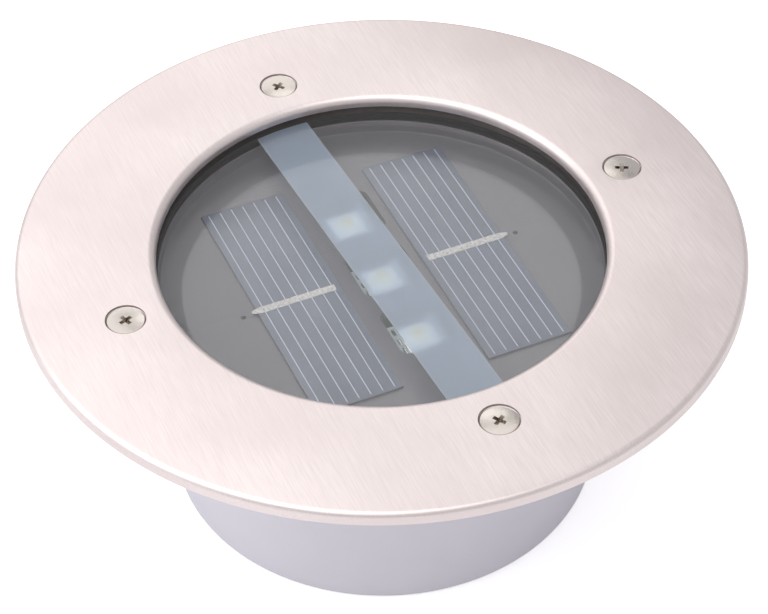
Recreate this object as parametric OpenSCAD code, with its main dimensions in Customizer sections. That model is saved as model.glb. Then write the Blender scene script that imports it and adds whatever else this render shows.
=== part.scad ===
// Round solar ground light: a plastic cup with a wide flange, a stainless trim ring held by four
// countersunk screws, a clear window with a frosted strip, two solar cells and three lamps in a tray.
// The base rests on z = 0 at the origin. +Y runs along the frosted strip, +X points to the right cell.

/* [Whole light] */
// Height from the base to the face of the trim ring
total_h = 47; // [45:0.5:50]
// Diameter of the round base
base_d = 73.4; // [71:0.2:76]

/* [Trim ring] */
// Outer diameter of the trim ring
ring_d = 120; // [114:1:130]
// Diameter of the window opening
window_d = 74.1; // [73:0.1:75]
// Thickness of the stainless sheet
ring_t = 1.0; // [0.8:0.1:1.2]
// Height of the turned-down outer edge, face included
skirt_h = 2.4; // [2.2:0.1:3.2]
// Radius of the rounded outer shoulder
shoulder_r = 1.0; // [0.5:0.1:1.5]
// Depth of the turned-down inner lip, face included
lip_h = 1.95; // [1.8:0.05:2.4]
// Diameter of the circle that the four screws sit on
screw_circle_d = 89; // [88:0.5:93]
// Diameter of a screw head
screw_head_d = 6.2; // [5.6:0.2:6.8]
// Diameter of a screw shank
screw_d = 3; // [2.6:0.2:3.2]
// Length of a screw, head included
screw_l = 11; // [9:0.5:12]

/* [Window] */
// Diameter of the clear window
lens_d = 80; // [79:0.5:80.5]
// Thickness of the clear window
lens_t = 3; // [2:0.25:3.5]
// Width of the frosted strip
strip_w = 9.6; // [8:0.2:11]
// Thickness of the frosted strip
strip_t = 0.2; // [0.1:0.05:0.3]
// Height of the black seal under the window
gasket_h = 1.75; // [1.5:0.25:2.5]

/* [Cup] */
// Wall thickness of the cup
wall = 2; // [1.6:0.1:2.4]
// Thickness of the cup's floor
floor_t = 2.4; // [2.2:0.1:3]
// Gap between the flange and the trim ring's turned-down edge
flange_gap = 1.5; // [0.5:0.25:3]
// Thickness of the flange
flange_t = 2.5; // [2:0.25:3]
// Outer diameter of the collar round the window
collar_d = 86; // [85:0.5:88]

/* [Solar cells and tray] */
// Width of a solar cell
cell_w = 14.8; // [13:0.2:16]
// Length of a solar cell
cell_l = 51; // [48:0.5:51]
// Thickness of a solar cell
cell_t = 0.4; // [0.2:0.1:0.6]
// Distance between the two cells' middles
cell_gap = 29.8; // [28:0.2:30]
// Width of a cell's silver ribbon
ribbon_w = 1.4; // [1:0.1:2]
// Thickness of the tray's plate
tray_t = 1.5; // [1.2:0.1:2]
// Diameter of the tray's flat middle, up to its wall
tray_flat_d = 73.8; // [73:0.2:74]

/* [Lamps] */
// Number of lamps along the strip
lamp_count = 3; // [2:1:3]
// Distance between neighbouring lamps
lamp_pitch = 14.7; // [13:0.1:15]
// Side of a square lamp
lamp_w = 5.4; // [5:0.2:6]
// Height of a lamp's body
lamp_h = 2.6; // [2.2:0.1:3]

/* [Power and switch] */
// Diameter of the rechargeable cell
battery_d = 14.2; // [13.8:0.1:14.5]
// Length of the rechargeable cell, terminal included
battery_l = 50.5; // [49:0.5:51]
// Travel of the switch knob
switch_travel = 2; // [1.5:0.25:3]

/* [Hidden] */

$fn = 96;

// Overrun of a cutting tool past the faces that it cuts
over = 0.5;
// Gap between loose parts that slide past each other
slip = 0.3;
// Gap between a screw and its hole
screw_fit = 0.06;

// Trim ring
ring_r = ring_d / 2;
window_r = window_d / 2;
ring_z0 = total_h - ring_t;
screw_circle_r = screw_circle_d / 2;
screw_head_r = screw_head_d / 2;
screw_r = screw_d / 2;
screw_rim = 0.25;
head_gap = 0.22;
head_drop = 0.15;
head_cone_h = screw_head_r - screw_r;
recess_l = 3.3;
recess_w = 0.95;
recess_depth = 1.2;
recess_hub_r = 0.85;
screw_top = total_h - head_drop;
lip_round = 1.3;

// Window
lens_top = total_h - lip_h;
lens_z0 = lens_top - lens_t;
strip_turn = 2.8;
strip_shift = -0.85;
lens_r = lens_d / 2;
gasket_z0 = lens_z0 - gasket_h;
gasket_in = 0.1;
gasket_in_r = window_r - gasket_in;
seat_r = lens_r + slip;

// Cup
base_r = base_d / 2;
base_round = 1;
draft = 0.9;
collar_r = collar_d / 2;
flange_r = ring_r - ring_t - flange_gap;
flange_z0 = ring_z0 - flange_t;
rim_h = 3.3;
ledge_z = gasket_z0 - rim_h;
ledge_t = 1.4;
collar_z0 = ledge_z - ledge_t;
wall_in_r0 = base_r - wall;
wall_in_r1 = base_r + draft - wall;
boss_r = 3.9;
boss_floor = 1;
screw_room = 1;
boss_z0 = screw_top - screw_l - screw_room - boss_floor;
rib_t = 1.6;
rib_count = 8;
rib_h = 6;
rib_end = 8.5;

// Tray
tray_lift = 1.02;
tray_top = ledge_z + tray_lift;
tray_r = seat_r - slip;
tray_flat_r = tray_flat_d / 2;
tray_z0 = tray_top - tray_t;
tray_wall_r = wall_in_r1 - slip;
cell_x = cell_gap / 2;
cell_top = tray_top + cell_t;
ribbon_t = 0.2;
ribbon_in = 8.4;
ribbon_out = 23.2;
ribbon_tip = 1.6;
lead_hole_gap = 1.5;
lead_hole_x = ribbon_out + lead_hole_gap;
lead_hole_r = 0.45;

// Lamps
lamp_hole_w = 11.5;
lamp_hole_l = 10.4;
lamp_hole_dx = 1.25;
lamp_hole_dy = 0.4;
lamp_hole_round = 1.5;
lamp_sink = 0.3;
lamp_top = tray_top - lamp_sink;
lamp_z0 = lamp_top - lamp_h;
lamp_board_t = 1.2;
lamp_board_w = 12;
lamp_board_end = 11;
lamp_board_l = 2 * (lamp_pitch + lamp_board_end);
lamp_corner = 0.8;
lamp_dome_r = 2.1;
lamp_dome_h = 0.7;
lamp_dot_r = 0.9;
lamp_dot_h = 0.12;
lead_t = 0.3;
lead_reach = 1.4;
lead_l = 7.4;
lead_slot = 0.6;
lead_slot_l = 1.5;
lead_step = 2.3;
lead_sink = 1.1;
lead_z = lamp_top - lead_sink;
lamp_screw_gap = 8.2;
lamp_screw_y = lamp_pitch + lamp_screw_gap;
lamp_post_r = 2.2;
small_screw_r = 1;
small_head_r = 1.9;
small_head_h = 1.2;

// Battery and holder
battery_r = battery_d / 2;
nub_r = 2.75;
nub_h = 1;
holder_x = -9.5;
holder_wall = 1.2;
holder_base = 1.4;
spring_room = 3.4;
contact_t = 0.4;
holder_in_l = battery_l + spring_room + 2 * contact_t;
holder_l = holder_in_l + 2 * holder_wall;
holder_gap = 0.2;
holder_w = battery_d + 2 * (holder_wall + holder_gap);
holder_h = 9.2;
holder_end_h = 13.6;
battery_z = floor_t + holder_base + battery_r;
battery_y0 = -holder_in_l / 2 + contact_t + spring_room;
peg_r = 1.5;
peg_h = 0.9;
peg_y = 18;
contact_w = 9;
contact_h = 10;
contact_lift = 1;
contact_z0 = floor_t + holder_base + contact_lift;
tab_h = 3;
tab_w = 2.6;
spring_wire = 0.7;
spring_r0 = 3.9;
spring_r1 = 2.3;
spring_turns = 4;

// Switch and control board
switch_x = 16;
switch_w = 4.6;
switch_l = 9;
switch_h = 4;
knob_w = 3.2;
knob_l = 4;
knob_h = 0.9;
knob_lift = 0.25;
stem_w = 1.8;
stem_l = 1.8;
well_h = 1.3;
well_gap = 1.2;
well_w = knob_w + 2 * well_gap;
well_l = knob_l + switch_travel + 2 * well_gap;
slot_w = stem_w + 2 * slip;
slot_l = stem_l + switch_travel + 2 * slip;
stem_reach = 1.6;
stem_top = floor_t + stem_reach;
board_z0 = floor_t + switch_h;
board_t = 1.2;
board_top = board_z0 + board_t;
board_l = 26;
board_gap = 3;
board_x0 = 3.5;
board_x1 = sqrt(pow(wall_in_r0 - board_gap, 2) - pow(board_l / 2, 2));
board_post_r = 2.2;
board_post_y = 10.4;
board_post_in = 2.6;
board_post_x0 = board_x0 + board_post_in;
board_post_x1 = board_x1 - board_post_in;
board_posts = [
    [board_post_x0, -board_post_y],
    [board_post_x1, board_post_y]
];
chip_w = 4;
chip_l = 5;
chip_h = 1.5;
chip_pos = [12, -4];
coil_r = 3;
coil_h = 4.2;
coil_waist = 2.2;
coil_lip = 0.8;
coil_pos = [21.5, -7];
cap_r = 2.5;
cap_h = 7;
cap_pos = [13, 6.5];
resistor_l = 2;
resistor_w = 1.25;
resistor_h = 0.55;
resistor_gap = 2.4;
resistor_pos = [19, 3];
resistor_count = 3;

// Wires
wire_r = 0.6;
wire_sides = 8;
wire_bend = 5;
wire_rise = 6;
wire_drop = 8;
battery_wire_x = board_x0 + board_post_r + 3 * wire_r;
battery_wire_y = 6;
battery_wire_turn = 16;
panel_wire_x = 17;
panel_wire_gap = 12;
lamp_wire_x = 13;
lamp_wire_y = -9.5;
lamp_wire_gap = 5;
lamp_wire_start = 4;
lamp_wire_split = 6;

// Sweeps a round wire along a list of points with mitred corners
function unit(v) = v / norm(v);
function tangent(p, i) =
    i == 0 ? unit(p[1] - p[0]) :
    i == len(p) - 1 ? unit(p[i] - p[i - 1]) :
    unit(unit(p[i] - p[i - 1]) + unit(p[i + 1] - p[i]));
function side_start(t) = unit(cross(t, abs(t[2]) < 0.9 ? [0, 0, 1] : [1, 0, 0]));
function sides_of(p, i) =
    i == 0 ? side_start(tangent(p, 0)) :
    let (last = sides_of(p, i - 1), t = tangent(p, i)) unit(last - (last * t) * t);
function wire_ring(c, t, s, r, n) =
    let (u = cross(t, s)) [for (k = [0:n - 1]) c + r * (cos(360 * k / n) * s + sin(360 * k / n) * u)];
function side_walls(rings, n) = [
    for (i = [0:rings - 2], k = [0:n - 1])
        [i * n + k, (i + 1) * n + k, (i + 1) * n + (k + 1) % n, i * n + (k + 1) % n]
];

module swept(p, r, n) {
    points = [for (i = [0:len(p) - 1]) each wire_ring(p[i], tangent(p, i), sides_of(p, i), r, n)];
    last = len(p) - 1;
    faces = concat(
        [[for (k = [0:n - 1]) k]],
        side_walls(len(p), n),
        [[for (k = [0:n - 1]) last * n + n - 1 - k]]
    );
    polyhedron(points, faces);
}

// Rounds the corners of a route of points with short bends
function corner(a, b, c, d) = [
    for (s = [0:0.25:1])
        let (p = b + d * unit(a - b), q = b + d * unit(c - b)) (1 - s) * (1 - s) * p + 2 * s * (1 - s) * b + s * s * q
];
function bent(route, d) = concat(
    [route[0]],
    [for (i = [1:len(route) - 2]) each corner(route[i - 1], route[i], route[i + 1], d)],
    [route[len(route) - 1]]
);

module block(size, at) {
    translate([at[0] - size[0] / 2, at[1] - size[1] / 2, at[2]])
        cube(size);
}

module rounded_slab(w, l, h, r) {
    linear_extrude(height = h) {
        square([w - 2 * r, l], center = true);
        square([w, l - 2 * r], center = true);
        for (x = [-1, 1], y = [-1, 1])
            translate([x * (w / 2 - r), y * (l / 2 - r)])
                circle(r = r, $fn = 32);
    }
}

module screw_places() {
    for (k = [0:3])
        rotate([0, 0, 90 * k])
            translate([screw_circle_r, 0, 0])
                children();
}

module lamp_at(index) {
    translate([0, (1 - index) * lamp_pitch, 0])
        children();
}

// Countersunk head, shank and cross recess of one screw, with its head face at z = 0
module countersunk_screw(head_r, shank_r, length, rim) {
    difference() {
        rotate_extrude()
            polygon([
                [0, 0],
                [head_r, 0],
                [head_r, -rim],
                [shank_r, -rim - head_r + shank_r],
                [shank_r, -length + shank_r],
                [0, -length]
            ]);
        translate([0, 0, -recess_depth])
            for (turn = [0, 90])
                rotate([0, 0, turn + 20])
                    block([recess_l, recess_w, recess_depth + over], [0, 0, 0]);
        translate([0, 0, -recess_depth])
            cylinder(r1 = recess_hub_r / 2, r2 = recess_hub_r, h = recess_depth + over / 10);
    }
}

module trim_ring() {
    color([0.88, 0.84, 0.82])
    difference() {
        rotate_extrude($fn = 180)
            difference() {
                union() {
                    translate([window_r, ring_z0])
                        square([ring_r - window_r, ring_t]);
                    translate([ring_r - ring_t, total_h - skirt_h])
                        square([ring_t, skirt_h]);
                    translate([window_r, total_h - lip_h])
                        square([ring_t, lip_h]);
                }
                translate([ring_r - shoulder_r, total_h - shoulder_r])
                    difference() {
                        square(shoulder_r + over);
                        circle(r = shoulder_r);
                    }
                translate([window_r + lip_round, total_h - lip_round])
                    mirror([1, 0])
                        difference() {
                            square(lip_round + over);
                            circle(r = lip_round);
                        }
            }
        screw_places() {
            translate([0, 0, ring_z0 - over])
                cylinder(r = screw_r + head_gap, h = ring_t + 2 * over);
            translate([0, 0, total_h - screw_rim - head_drop])
                cylinder(r = screw_head_r + head_gap, h = screw_rim + head_drop + over);
            translate([0, 0, total_h - screw_rim - head_drop - head_cone_h])
                cylinder(r1 = screw_r + head_gap, r2 = screw_head_r + head_gap, h = head_cone_h);
        }
    }
}

module trim_screws() {
    color([0.8, 0.79, 0.78])
    screw_places()
        translate([0, 0, screw_top])
            countersunk_screw(screw_head_r, screw_r, screw_l, screw_rim);
}

module window_lens() {
    color([0.85, 0.9, 0.95, 0.35])
    translate([0, 0, lens_z0])
        cylinder(r = lens_r, h = lens_t, $fn = 180);
}

module frosted_strip() {
    color([0.66, 0.7, 0.77])
    intersection() {
        translate([0, 0, lens_z0 - strip_t])
            cylinder(r = gasket_in_r - slip, h = strip_t, $fn = 180);
        translate([strip_shift, 0, 0])
            rotate([0, 0, strip_turn])
                block([strip_w, lens_d, lens_t], [0, 0, lens_z0 - lens_t / 2]);
    }
}

module lens_gasket() {
    color([0.08, 0.08, 0.08])
    rotate_extrude($fn = 180)
        translate([gasket_in_r, gasket_z0])
            square([lens_r - gasket_in_r, gasket_h]);
}

// Section of the cup's turned shell
module cup_section() {
    difference() {
        polygon([
            [0, 0],
            [base_r, 0],
            [base_r + draft, collar_z0],
            [collar_r, collar_z0],
            [collar_r, flange_z0],
            [flange_r, flange_z0],
            [flange_r, ring_z0],
            [seat_r, ring_z0],
            [seat_r, ledge_z],
            [wall_in_r1, ledge_z],
            [wall_in_r0, floor_t],
            [0, floor_t]
        ]);
        translate([base_r - base_round, base_round])
            mirror([0, 1])
                difference() {
                    square(base_round + over);
                    circle(r = base_round);
                }
    }
}

// Upright web between the collar and the flange
module flange_rib() {
    translate([0, rib_t / 2, 0])
        rotate([90, 0, 0])
            linear_extrude(height = rib_t)
                polygon([
                    [collar_r - wall / 2, flange_z0 + flange_t / 2],
                    [collar_r - wall / 2, flange_z0 - rib_h],
                    [flange_r - rib_end, flange_z0 - rib_t],
                    [flange_r - rib_end, flange_z0 + flange_t / 2]
                ]);
}

module cup() {
    color([0.75, 0.73, 0.75])
    difference() {
        union() {
            rotate_extrude($fn = 180)
                cup_section();
            screw_places()
                translate([0, 0, boss_z0])
                    cylinder(r = boss_r, h = flange_z0 - boss_z0 + flange_t / 2);
            for (k = [0:rib_count - 1])
                rotate([0, 0, 360 * (k + 0.5) / rib_count])
                    flange_rib();
            for (p = board_posts)
                translate([p[0], p[1], floor_t / 2])
                    cylinder(r = board_post_r, h = board_z0 - floor_t / 2);
            for (side = [-1, 1])
                translate([holder_x, side * peg_y, floor_t / 2])
                    cylinder(r = peg_r, h = floor_t / 2 + peg_h);
        }
        translate([0, 0, ledge_z])
            cylinder(r = seat_r, h = total_h, $fn = 180);
        screw_places() {
            translate([0, 0, screw_top - screw_l - screw_room])
                cylinder(r = screw_r + screw_fit, h = total_h);
            translate([0, 0, screw_top - screw_rim - head_cone_h - head_gap])
                cylinder(r1 = screw_r + screw_fit, r2 = screw_head_r + head_gap, h = head_cone_h);
        }
        for (p = board_posts)
            translate([p[0], p[1], floor_t])
                cylinder(r = small_screw_r + screw_fit, h = board_z0);
        block([well_w, well_l, well_h + over], [switch_x, 0, -over]);
        block([slot_w, slot_l, floor_t + 2 * over], [switch_x, 0, -over]);
    }
}

module solar_tray() {
    color([0.56, 0.55, 0.57])
    difference() {
        union() {
            rotate_extrude($fn = 180)
                polygon([
                    [0, tray_z0],
                    [tray_wall_r, tray_z0],
                    [tray_wall_r, ledge_z],
                    [tray_r, ledge_z],
                    [tray_r, gasket_z0],
                    [tray_flat_r, gasket_z0],
                    [tray_flat_r, tray_top],
                    [0, tray_top]
                ]);
            for (side = [-1, 1])
                translate([0, side * lamp_screw_y, lamp_z0])
                    cylinder(r = lamp_post_r, h = tray_z0 + tray_t / 2 - lamp_z0);
        }
        for (k = [0:lamp_count - 1])
            lamp_at(k)
                translate([lamp_hole_dx, lamp_hole_dy, tray_z0 - over])
                    rounded_slab(lamp_hole_w, lamp_hole_l, tray_t + 2 * over, lamp_hole_round);
        for (side = [-1, 1]) {
            translate([side * lead_hole_x, 0, tray_z0 - over])
                cylinder(r = lead_hole_r, h = tray_t + 2 * over);
            translate([0, side * lamp_screw_y, lamp_z0 - over])
                cylinder(r = small_screw_r + screw_fit, h = tray_top - tray_t / 2 - lamp_z0 + over);
        }
    }
}

module solar_cell(side) {
    color([0.45, 0.48, 0.58])
        block([cell_w, cell_l, cell_t], [side * cell_x, 0, tray_top]);
}

module solar_cell_left() {
    solar_cell(-1);
}

module solar_cell_right() {
    solar_cell(1);
}

module cell_ribbons() {
    color([0.88, 0.88, 0.9])
    for (turn = [0, 180])
        rotate([0, 0, turn])
            translate([0, 0, cell_top])
                linear_extrude(height = ribbon_t)
                    polygon([
                        [ribbon_in, -ribbon_w / 2],
                        [ribbon_out - ribbon_tip, -ribbon_w / 2],
                        [ribbon_out, -ribbon_w / 8],
                        [ribbon_out, ribbon_w / 8],
                        [ribbon_out - ribbon_tip, ribbon_w / 2],
                        [ribbon_in, ribbon_w / 2]
                    ]);
}

module lamp_board() {
    color([0.2, 0.42, 0.25])
    difference() {
        block([lamp_board_w, lamp_board_l, lamp_board_t], [0, 0, lamp_z0 - lamp_board_t]);
        for (side = [-1, 1])
            translate([0, side * lamp_screw_y, lamp_z0 - lamp_board_t - over])
                cylinder(r = small_screw_r + screw_fit, h = lamp_board_t + 2 * over);
    }
}

// One square lamp body with one cut corner and a low dome
module lamp(index) {
    color([0.93, 0.93, 0.9])
    lamp_at(index) {
        translate([0, 0, lamp_z0])
            linear_extrude(height = lamp_h - lamp_dome_h)
                polygon([
                    [-lamp_w / 2, -lamp_w / 2],
                    [lamp_w / 2, -lamp_w / 2],
                    [lamp_w / 2, lamp_w / 2 - lamp_corner],
                    [lamp_w / 2 - lamp_corner, lamp_w / 2],
                    [-lamp_w / 2, lamp_w / 2]
                ]);
        translate([0, 0, lamp_top - lamp_dome_h - lamp_dome_h / 2])
            cylinder(r1 = lamp_dome_r + lamp_dome_h / 2, r2 = lamp_dome_r, h = 3 * lamp_dome_h / 2);
    }
}

module lamp_far() {
    lamp(0);
}

module lamp_middle() {
    lamp(1);
}

module lamp_near() {
    lamp(lamp_count - 1);
}

// Two rails and three rungs of metal down each side of a lamp
module lamp_leads() {
    color([0.85, 0.85, 0.87])
    for (k = [0:lamp_count - 1], side = [-1, 1])
        lamp_at(k)
            translate([side * (lamp_w / 2 + lead_reach / 2), 0, 0])
                difference() {
                    block([lead_reach, lead_l, lead_t], [0, 0, lead_z]);
                    for (step = [-1, 0, 1])
                        block([lead_slot, lead_slot_l, lead_t + 2 * over], [0, step * lead_step, lead_z - over]);
                }
}

module lamp_dots() {
    color([0.9, 0.8, 0.4])
    for (k = [0:lamp_count - 1])
        lamp_at(k)
            translate([0, 0, lamp_top])
                cylinder(r = lamp_dot_r, h = lamp_dot_h);
}

// Small pan head screw with its head's underside at z = 0 and its shank along +Z
module pan_screw(length) {
    difference() {
        union() {
            translate([0, 0, -small_head_h])
                cylinder(r = small_head_r, h = small_head_h);
            cylinder(r = small_screw_r, h = length);
        }
        for (turn = [0, 90])
            rotate([0, 0, turn])
                block([small_head_r * 1.2, small_head_r / 4, small_head_h], [0, 0, -small_head_h - small_head_h / 2]);
    }
}

module lamp_board_screws() {
    color([0.75, 0.75, 0.77])
    for (side = [-1, 1])
        translate([0, side * lamp_screw_y, lamp_z0 - lamp_board_t])
            pan_screw(lamp_board_t + lamp_h - tray_t / 2);
}

module control_board() {
    color([0.2, 0.42, 0.25])
    difference() {
        translate([board_x0, -board_l / 2, board_z0])
            cube([board_x1 - board_x0, board_l, board_t]);
        for (p = board_posts)
            translate([p[0], p[1], board_z0 - over])
                cylinder(r = small_screw_r + screw_fit, h = board_t + 2 * over);
    }
}

module control_screws() {
    color([0.75, 0.75, 0.77])
    for (p = board_posts)
        translate([p[0], p[1], board_top])
            mirror([0, 0, 1])
                pan_screw(board_t + switch_h - wall / 2);
}

module control_chip() {
    color([0.12, 0.12, 0.13])
        block([chip_w, chip_l, chip_h], [chip_pos[0], chip_pos[1], board_top]);
}

module inductor() {
    color([0.35, 0.34, 0.33])
    translate([coil_pos[0], coil_pos[1], board_top])
        rotate_extrude()
            polygon([
                [0, 0],
                [coil_r, 0],
                [coil_r, coil_lip],
                [coil_waist, coil_lip],
                [coil_waist, coil_h - coil_lip],
                [coil_r, coil_h - coil_lip],
                [coil_r, coil_h],
                [0, coil_h]
            ]);
}

module capacitor() {
    color([0.16, 0.18, 0.3])
        translate([cap_pos[0], cap_pos[1], board_top])
            cylinder(r = cap_r, h = cap_h);
}

module resistors() {
    color([0.1, 0.1, 0.1])
    for (k = [0:resistor_count - 1])
        block(
            [resistor_l, resistor_w, resistor_h],
            [resistor_pos[0], resistor_pos[1] + k * resistor_gap, board_top]
        );
}

module switch_body() {
    color([0.15, 0.15, 0.16])
    difference() {
        block([switch_w, switch_l, switch_h], [switch_x, 0, floor_t]);
        block([slot_w, slot_l, stem_top - floor_t + slip + over], [switch_x, 0, floor_t - over]);
    }
}

module switch_knob() {
    color([0.1, 0.1, 0.1])
    translate([0, -switch_travel / 2, 0]) {
        block([knob_w, knob_l, knob_h], [switch_x, 0, knob_lift]);
        block([stem_w, stem_l, stem_top - knob_lift - knob_h / 2], [switch_x, 0, knob_lift + knob_h / 2]);
    }
}

module battery_holder() {
    color([0.18, 0.18, 0.19])
    translate([holder_x, 0, 0])
        difference() {
            union() {
                block([holder_w, holder_l, holder_h], [0, 0, floor_t]);
                for (side = [-1, 1])
                    block(
                        [holder_w, holder_wall, holder_end_h],
                        [0, side * (holder_l - holder_wall) / 2, floor_t]
                    );
            }
            block([battery_d + 2 * holder_gap, holder_in_l, holder_end_h], [0, 0, floor_t + holder_base]);
            for (side = [-1, 1])
                translate([0, side * peg_y, floor_t - over])
                    cylinder(r = peg_r + screw_fit, h = peg_h + over + screw_fit);
        }
}

module battery() {
    color([0.35, 0.55, 0.35])
    translate([holder_x, battery_y0, battery_z])
        rotate([-90, 0, 0]) {
            cylinder(r = battery_r, h = battery_l - nub_h);
            cylinder(r = nub_r, h = battery_l);
        }
}

module contact_plate() {
    difference() {
        union() {
            block([contact_w, contact_t, contact_h], [0, 0, contact_z0]);
            block([tab_w, contact_t, tab_h + over], [0, 0, contact_z0 + contact_h - over]);
        }
    }
}

module contact_minus() {
    color([0.8, 0.78, 0.7])
        translate([holder_x, (contact_t - holder_in_l) / 2, 0])
            contact_plate();
}

module contact_plus() {
    color([0.8, 0.78, 0.7])
        translate([holder_x, (holder_in_l - contact_t) / 2, 0])
            contact_plate();
}

module battery_spring() {
    steps = spring_turns * 24;
    y0 = -holder_in_l / 2 + contact_t + spring_wire / 2;
    y1 = battery_y0 - spring_wire / 2;
    color([0.8, 0.78, 0.72])
        swept(
            [
                for (i = [0:steps])
                    let (s = i / steps, r = spring_r0 + (spring_r1 - spring_r0) * s)
                    [
                        holder_x + r * cos(360 * spring_turns * s),
                        y0 + (y1 - y0) * s,
                        battery_z + r * sin(360 * spring_turns * s)
                    ]
            ],
            spring_wire / 2,
            6
        );
}

module battery_wires() {
    y0 = holder_in_l / 2 + wire_r;
    z0 = floor_t + holder_end_h;
    x1 = battery_wire_x;
    for (end = [-1, 1])
        color(end > 0 ? [0.7, 0.1, 0.1] : [0.08, 0.08, 0.08])
            swept(
                bent(
                    [
                        [holder_x, end * y0, z0],
                        [holder_x, end * y0, z0 + wire_rise],
                        [x1, end * battery_wire_turn, z0 + wire_rise],
                        [x1, end * battery_wire_y, board_top + wire_rise],
                        [x1, end * battery_wire_y, board_top]
                    ],
                    wire_bend / 2
                ),
                wire_r,
                wire_sides
            );
}

module panel_wires() {
    for (side = [-1, 1])
        color(side > 0 ? [0.7, 0.1, 0.1] : [0.08, 0.08, 0.08])
            swept(
                bent(
                    [
                        [side * lead_hole_x, 0, tray_z0],
                        [side * lead_hole_x, 0, tray_z0 - wire_drop],
                        [panel_wire_x + side * panel_wire_gap / 2, 0, board_top + wire_drop],
                        [panel_wire_x + side * panel_wire_gap / 2, 0, board_top]
                    ],
                    wire_bend
                ),
                wire_r,
                wire_sides
            );
}

module lamp_wires() {
    for (side = [-1, 1])
        color(side > 0 ? [0.7, 0.1, 0.1] : [0.08, 0.08, 0.08])
            swept(
                bent(
                    [
                        [side * lamp_wire_split / 2, -lamp_wire_start, lamp_z0 - lamp_board_t],
                        [side * lamp_wire_split / 2, -lamp_wire_start, lamp_z0 - lamp_board_t - wire_rise],
                        [lamp_wire_x + side * lamp_wire_gap / 2, lamp_wire_y, board_top + wire_drop],
                        [lamp_wire_x + side * lamp_wire_gap / 2, lamp_wire_y, board_top]
                    ],
                    wire_bend
                ),
                wire_r,
                wire_sides
            );
}

trim_ring();
trim_screws();
window_lens();
frosted_strip();
lens_gasket();
cup();
solar_tray();
solar_cell_left();
solar_cell_right();
cell_ribbons();
lamp_board();
lamp_far();
lamp_middle();
lamp_near();
lamp_leads();
lamp_dots();
lamp_board_screws();
control_board();
control_chip();
inductor();
capacitor();
resistors();
control_screws();
switch_body();
switch_knob();
battery_holder();
battery();
battery_spring();
contact_minus();
contact_plus();
battery_wires();
panel_wires();
lamp_wires();
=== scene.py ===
"""Round solar ground light, dressed over its packed construction.

A brushed stainless trim ring with four countersunk screws holds a clear window with a frosted strip.
Under the window lie a grey tray with two solar cells and three square lamps, in a pale plastic cup.
Lengths are written in millimetres and turned to metres by MM.
"""

import logging
import math
from dataclasses import dataclass, field
from enum import Enum

import bmesh
import bpy
from mathutils import Matrix, Vector, noise

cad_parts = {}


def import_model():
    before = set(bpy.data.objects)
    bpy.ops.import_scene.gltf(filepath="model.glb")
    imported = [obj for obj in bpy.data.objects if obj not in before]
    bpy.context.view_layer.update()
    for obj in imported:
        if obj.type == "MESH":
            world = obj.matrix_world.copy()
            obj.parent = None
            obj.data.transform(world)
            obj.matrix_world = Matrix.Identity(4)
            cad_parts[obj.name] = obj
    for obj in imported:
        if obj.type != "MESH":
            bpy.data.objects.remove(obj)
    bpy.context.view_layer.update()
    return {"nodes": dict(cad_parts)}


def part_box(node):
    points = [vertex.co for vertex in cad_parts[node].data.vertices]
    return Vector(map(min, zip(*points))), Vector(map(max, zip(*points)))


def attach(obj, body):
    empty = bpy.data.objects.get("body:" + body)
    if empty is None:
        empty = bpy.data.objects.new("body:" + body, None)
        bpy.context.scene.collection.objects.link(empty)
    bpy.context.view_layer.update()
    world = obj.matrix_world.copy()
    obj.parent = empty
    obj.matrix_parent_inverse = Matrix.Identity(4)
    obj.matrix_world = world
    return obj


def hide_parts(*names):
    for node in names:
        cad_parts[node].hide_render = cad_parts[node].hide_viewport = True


LOG = logging.getLogger("solar_ground_light")
MM = 0.001

Point = tuple[float, float]
Colour = tuple[float, float, float, float]


class Body(Enum):
    """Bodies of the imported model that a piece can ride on."""

    HOUSING = "housing"
    COVER = "cover"
    KNOB = "knob"


class Run(Enum):
    """Axis along which a pair of wires is told apart."""

    ALONG_X = "X"
    ALONG_Y = "Y"


def linear(code: str, alpha: float = 1.0) -> Colour:
    """Turns an sRGB hex colour into linear light.

    Args:
        code: Six hex digits, with or without a leading hash sign.
        alpha: Opacity put into the fourth value.

    Returns:
        Red, green, blue and alpha, the colours linear.
    """
    digits = code.lstrip("#")
    shares = [int(digits[k : k + 2], 16) / 255 for k in (0, 2, 4)]
    red, green, blue = (s / 12.92 if s <= 0.04045 else ((s + 0.055) / 1.055) ** 2.4 for s in shares)
    return (red, green, blue, alpha)


def add_node(
    tree: bpy.types.NodeTree, kind: str, inputs: dict | None = None, **settings: object
) -> bpy.types.Node:
    """Adds a shader node with its settings, values and links.

    Args:
        tree: Node tree that gets the node.
        kind: Blender's name of the node type.
        inputs: Socket name or number to a value, or to the output socket that feeds it.
        settings: Properties set on the node itself.

    Returns:
        The new node.
    """
    node = tree.nodes.new(kind)
    for name, value in settings.items():
        setattr(node, name, value)
    for key, value in (inputs or {}).items():
        if isinstance(value, bpy.types.NodeSocket):
            tree.links.new(value, node.inputs[key])
        else:
            node.inputs[key].default_value = value
    return node


def grain_scale(width: float) -> float:
    """Noise scale that gives features of a width in millimetres."""
    return 1 / (width * MM)


def new_material(name: str) -> tuple[bpy.types.Material, bpy.types.NodeTree, bpy.types.Node]:
    """Makes an empty material with one surface shader wired to its output.

    Args:
        name: What the material is.

    Returns:
        The material, its node tree and its surface shader.
    """
    material = bpy.data.materials.new(name)
    material.use_nodes = True
    tree = material.node_tree
    tree.nodes.clear()
    shader = add_node(tree, "ShaderNodeBsdfPrincipled")
    add_node(tree, "ShaderNodeOutputMaterial", {"Surface": shader.outputs["BSDF"]})
    return material, tree, shader


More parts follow.
